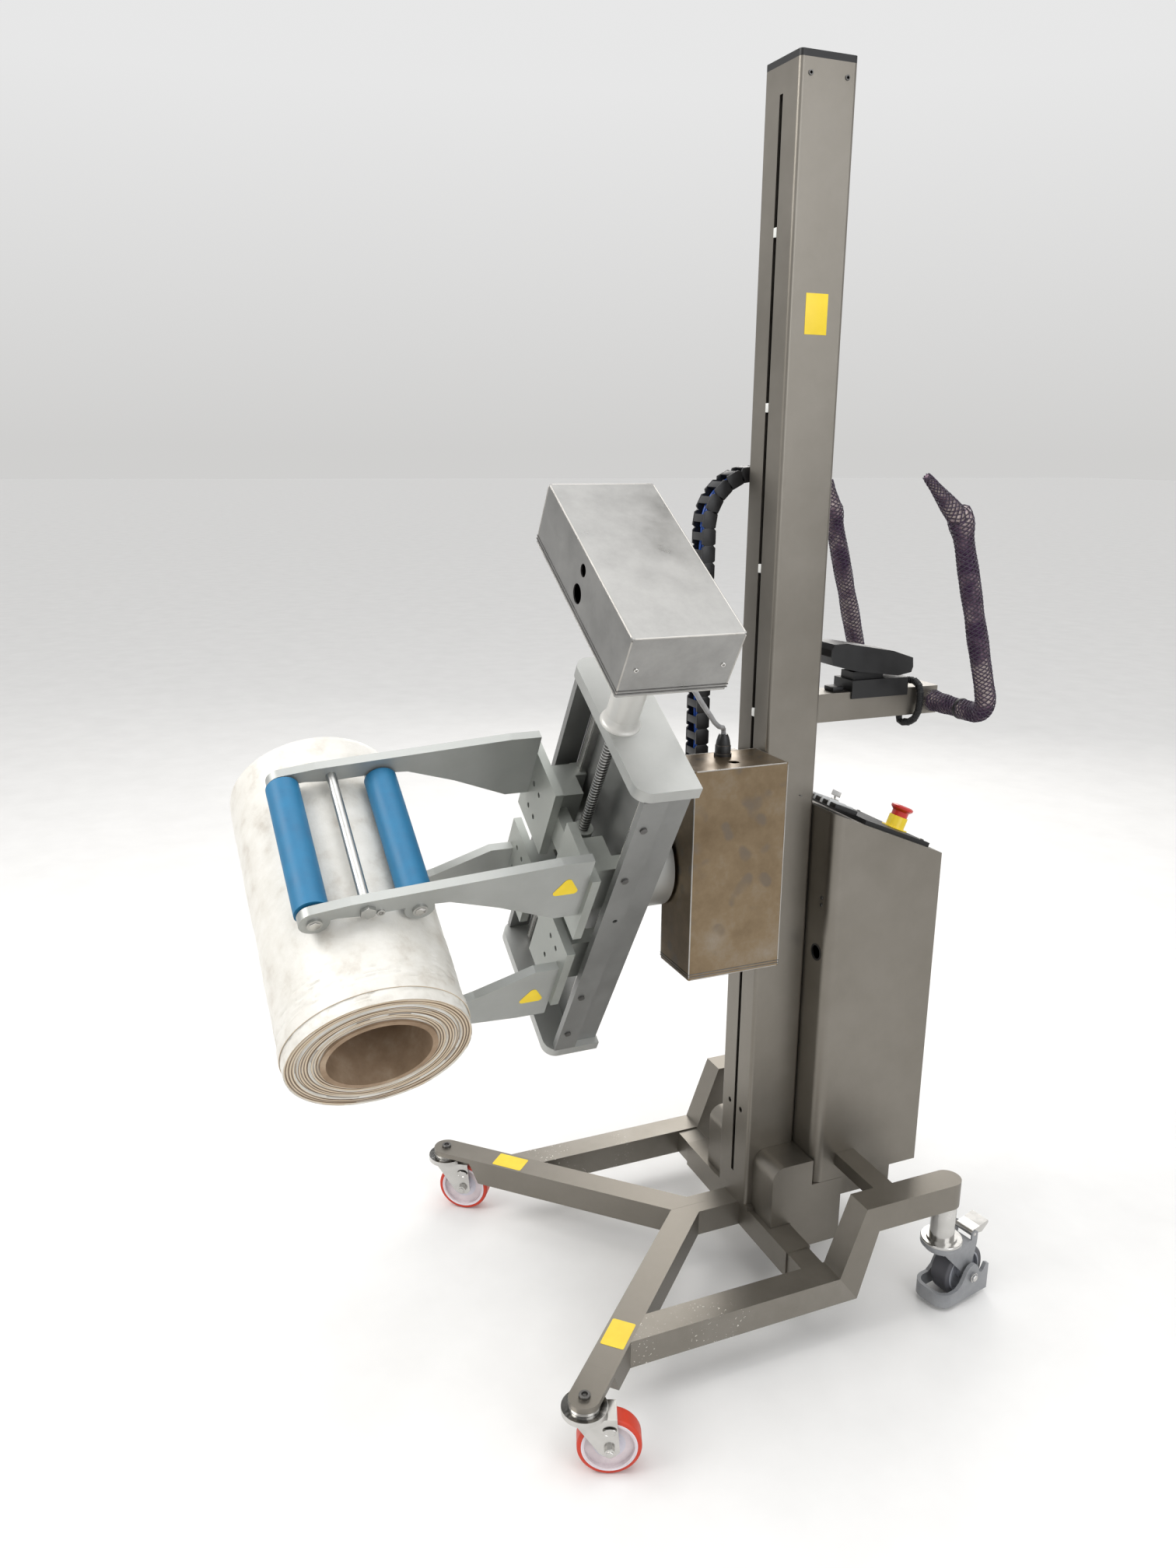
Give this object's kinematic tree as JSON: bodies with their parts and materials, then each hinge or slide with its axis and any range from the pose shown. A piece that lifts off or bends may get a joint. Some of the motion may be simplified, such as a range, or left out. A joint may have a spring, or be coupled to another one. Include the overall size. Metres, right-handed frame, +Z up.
{
  "type": "mobile column lifter with roll clamp",
  "caption": "Mobile column lifter: V-legged castored base, tall slotted mast, rotating clamp head with roller-tipped arms gripping a film roll, battery console, leaning handles.",
  "frame": {"origin": "centre of the bounding box's footprint on the floor", "axes": "+Z up the mast, -Y towards the clamped roll (the machine's front), +X to the side that carries the rotator box"},
  "size_m": [0.8282, 1.251, 2.071],
  "materials": {
    "stainless": "bead-blasted stainless steel",
    "polished": "polished stainless steel",
    "sheet_stainless": "stained stainless sheet",
    "aluminium": "matt anodised aluminium",
    "black_plastic": "black moulded plastic",
    "motor": "dark painted motor casing",
    "belt": "black reinforced belt",
    "battery": "dark battery and motor unit",
    "red_wheel": "red polyurethane tyre on a white hub",
    "grey_wheel": "grey rubber tyre on a grey hub",
    "blue_rubber": "blue rubber-coated roller",
    "red_plastic": "red push button",
    "mesh": "plastic mesh sleeve",
    "grey_cable": "grey cable jacket",
    "film": "ivory film",
    "cardboard": "card core",
    "steel": "machined steel"
  },
  "bodies": {
    "root": {"mast_tube": "stainless", "mast_cap": "black_plastic", "cross_beam": "stainless", "front_legs": "stainless", "side_beams": "stainless", "rear_beams": "stainless", "caster_stems": "polished", "base_covers": "stainless", "console_shell": "sheet_stainless", "control_panel": "black_plastic", "drive_pack": "battery", "lift_belt": "belt", "handle_beam": "stainless", "handle_bar": "polished", "grip_sleeves": "mesh", "pendant": "black_plastic", "pendant_conduit": "black_plastic", "chain_strand_fixed": "black_plastic"},
    "estop": {"estop_button": "red_plastic"},
    "pulley_top": {"pulley_top": "aluminium"},
    "pulley_bottom": {"pulley_bottom": "aluminium"},
    "chain_loop": {"chain_loop": "black_plastic"},
    "carriage": {"carriage_plate": "stainless", "bearing_housing": "aluminium", "rotator_box": "sheet_stainless", "rotator_motor": "motor", "chain_strand_moving": "black_plastic"},
    "head": {"head_shaft": "steel", "back_frame": "aluminium", "rails": "steel", "end_plates": "aluminium", "side_plates": "aluminium", "motor_post": "aluminium", "motor_box": "sheet_stainless", "clamp_motor": "motor", "side_screws": "steel", "clamp_cable": "grey_cable"},
    "lead_screw": {"lead_screw": "steel"},
    "upper_jaw": {"upper_carriage": "aluminium", "upper_arms": "aluminium", "upper_rods": "steel"},
    "lower_jaw": {"lower_carriage": "aluminium", "lower_arms": "aluminium", "lower_rods": "steel"},
    "upper_roller_front": {"upper_roller_front": "blue_rubber"},
    "upper_roller_rear": {"upper_roller_rear": "blue_rubber"},
    "lower_roller_front": {"lower_roller_front": "blue_rubber"},
    "lower_roller_rear": {"lower_roller_rear": "blue_rubber"},
    "film_roll": {"film_roll": "film", "roll_core": "cardboard"},
    "front_swivel_left": {"front_fork_left": "polished"},
    "front_swivel_right": {"front_fork_right": "polished"},
    "front_wheel_left": {"front_wheel_left": "red_wheel"},
    "front_wheel_right": {"front_wheel_right": "red_wheel"},
    "rear_swivel_left": {"rear_fork_left": "polished"},
    "rear_swivel_right": {"rear_fork_right": "polished"},
    "rear_wheel_left": {"rear_wheel_left": "grey_wheel"},
    "rear_wheel_right": {"rear_wheel_right": "grey_wheel"},
    "brake_pedal_left": {"brake_pedal_left": "polished"},
    "brake_pedal_right": {"brake_pedal_right": "polished"}
  },
  "joints": [
    {"name": "lift", "type": "slide", "parent": "root", "child": "carriage", "axis": [0, 0, 1], "range_m": [-0.3, 0.85], "deforming": ["chain_strand_moving"]},
    {"name": "chain_follow", "type": "slide", "parent": "root", "child": "chain_loop", "axis": [0, 0, 1], "range_m": [-0.15, 0.425], "deforming": ["chain_strand_fixed"]},
    {"name": "pulley_top_spin", "type": "hinge", "parent": "root", "child": "pulley_top", "pos_m": [-0.01315, 0.298, 2.01], "axis": [0, 1, 0], "range_deg": [-1540, 550]},
    {"name": "pulley_bottom_spin", "type": "hinge", "parent": "root", "child": "pulley_bottom", "pos_m": [-0.01315, 0.298, 0.25], "axis": [0, 1, 0], "range_deg": [-1540, 550]},
    {"name": "head_rotate", "type": "hinge", "parent": "carriage", "child": "head", "pos_m": [-0.01315, 0.008, 0.83], "axis": [0, 1, 0], "range_deg": [-32, 58], "deforming": ["clamp_cable"]},
    {"name": "jaw_open", "type": "slide", "parent": "head", "child": "upper_jaw", "axis": [0.5299, 0, 0.848], "range_m": [0, 0.16]},
    {"name": "lower_jaw_open", "type": "slide", "parent": "head", "child": "lower_jaw", "axis": [0.5299, 0, 0.848], "range_m": [-0.16, 0]},
    {"name": "screw_spin", "type": "hinge", "parent": "head", "child": "lead_screw", "pos_m": [-0.01315, -0.11, 0.83], "axis": [0.5299, 0, 0.848], "range_deg": [0, 2890]},
    {"name": "roll_spin", "type": "hinge", "parent": "lower_jaw", "child": "film_roll", "pos_m": [0.00551, -0.4895, 0.81834], "axis": [0.848, 0, -0.5299], "continuous": true},
    {"name": "upper_roller_front_spin", "type": "hinge", "parent": "upper_jaw", "child": "upper_roller_front", "pos_m": [0.06279, -0.5636, 0.95152], "axis": [0.848, 0, -0.5299], "continuous": true},
    {"name": "upper_roller_rear_spin", "type": "hinge", "parent": "upper_jaw", "child": "upper_roller_rear", "pos_m": [0.06279, -0.4153, 0.95152], "axis": [0.848, 0, -0.5299], "continuous": true},
    {"name": "lower_roller_front_spin", "type": "hinge", "parent": "lower_jaw", "child": "lower_roller_front", "pos_m": [-0.08909, -0.5636, 0.70847], "axis": [0.848, 0, -0.5299], "continuous": true},
    {"name": "lower_roller_rear_spin", "type": "hinge", "parent": "lower_jaw", "child": "lower_roller_rear", "pos_m": [-0.08909, -0.4153, 0.70847], "axis": [0.848, 0, -0.5299], "continuous": true},
    {"name": "estop_press", "type": "slide", "parent": "root", "child": "estop", "axis": [0, -0.3854, -0.9227], "range_m": [0, 0.005]},
    {"name": "front_swivel_left_turn", "type": "hinge", "parent": "root", "child": "front_swivel_left", "pos_m": [-0.37815, -0.23, 0.108], "axis": [0, 0, 1], "continuous": true},
    {"name": "front_wheel_left_spin", "type": "hinge", "parent": "front_swivel_left", "child": "front_wheel_left", "pos_m": [-0.3569, -0.1985, 0.05], "axis": [-0.829, 0.5592, 0], "continuous": true},
    {"name": "rear_swivel_left_turn", "type": "hinge", "parent": "root", "child": "rear_swivel_left", "pos_m": [-0.27565, 0.516, 0.118], "axis": [0, 0, 1], "continuous": true},
    {"name": "rear_wheel_left_spin", "type": "hinge", "parent": "rear_swivel_left", "child": "rear_wheel_left", "pos_m": [-0.28009, 0.56681, 0.05], "axis": [-0.9962, -0.0872, 0], "continuous": true},
    {"name": "brake_pedal_left_press", "type": "hinge", "parent": "rear_swivel_left", "child": "brake_pedal_left", "pos_m": [-0.2814, 0.58175, 0.125], "axis": [-0.9962, -0.0872, 0], "range_deg": [0, 20]},
    {"name": "front_swivel_right_turn", "type": "hinge", "parent": "root", "child": "front_swivel_right", "pos_m": [0.35185, -0.23, 0.108], "axis": [0, 0, 1], "continuous": true},
    {"name": "front_wheel_right_spin", "type": "hinge", "parent": "front_swivel_right", "child": "front_wheel_right", "pos_m": [0.36608, -0.19477, 0.05], "axis": [-0.9272, 0.3746, 0], "continuous": true},
    {"name": "rear_swivel_right_turn", "type": "hinge", "parent": "root", "child": "rear_swivel_right", "pos_m": [0.24935, 0.516, 0.118], "axis": [0, 0, 1], "continuous": true},
    {"name": "rear_wheel_right_spin", "type": "hinge", "parent": "rear_swivel_right", "child": "rear_wheel_right", "pos_m": [0.23962, 0.56606, 0.05], "axis": [-0.9816, -0.1908, 0], "continuous": true},
    {"name": "brake_pedal_right_press", "type": "hinge", "parent": "rear_swivel_right", "child": "brake_pedal_right", "pos_m": [0.23676, 0.58079, 0.125], "axis": [-0.9816, -0.1908, 0], "range_deg": [0, 20]}
  ],
  "couplings": [
    {"joint": "chain_follow", "follows": "lift", "ratio": 0.5},
    {"joint": "pulley_top_spin", "follows": "lift", "rad_per_m": -31.447},
    {"joint": "pulley_bottom_spin", "follows": "lift", "rad_per_m": -31.447},
    {"joint": "lower_jaw_open", "follows": "jaw_open", "ratio": -1},
    {"joint": "screw_spin", "follows": "jaw_open", "rad_per_m": 314.16},
    {"joint": "upper_roller_front_spin", "follows": "roll_spin", "ratio": -5.44},
    {"joint": "upper_roller_rear_spin", "follows": "roll_spin", "ratio": -5.44},
    {"joint": "lower_roller_front_spin", "follows": "roll_spin", "ratio": -5.44},
    {"joint": "lower_roller_rear_spin", "follows": "roll_spin", "ratio": -5.44}
  ]
}
